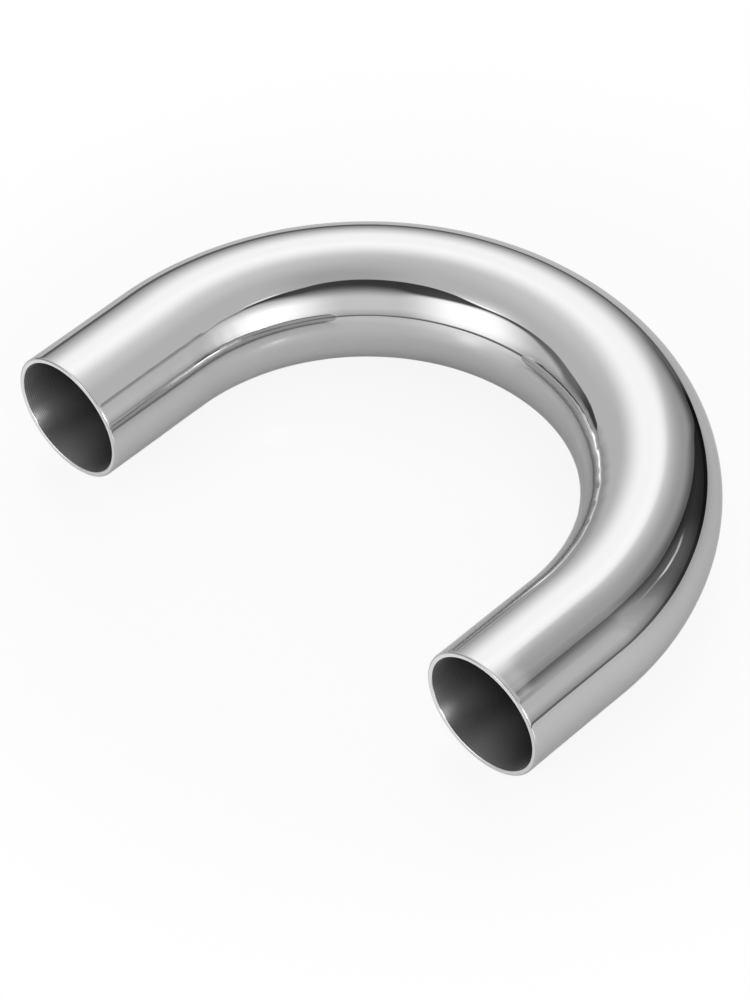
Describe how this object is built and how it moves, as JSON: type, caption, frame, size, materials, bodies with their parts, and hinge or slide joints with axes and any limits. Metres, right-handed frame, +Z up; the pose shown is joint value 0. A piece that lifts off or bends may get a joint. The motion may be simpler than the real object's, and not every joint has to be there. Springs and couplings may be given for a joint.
{
  "type": "return bend",
  "caption": "U-shaped return bend of round polished stainless tube with a straight leg at each mouth, turning a pipe run back beside itself.",
  "frame": {"origin": "middle of the part's footprint, on the surface that the bend lies flat on", "axes": "+Z up, square to the plane of the bend; the two legs run side by side along -Y and their mouths face -Y; +X points from the left leg to the right leg"},
  "size_m": [0.1932, 0.133, 0.0381],
  "materials": {
    "polished_stainless": "polished"
  },
  "bodies": {
    "root": {"bent_tube": "polished_stainless"}
  },
  "joints": []
}
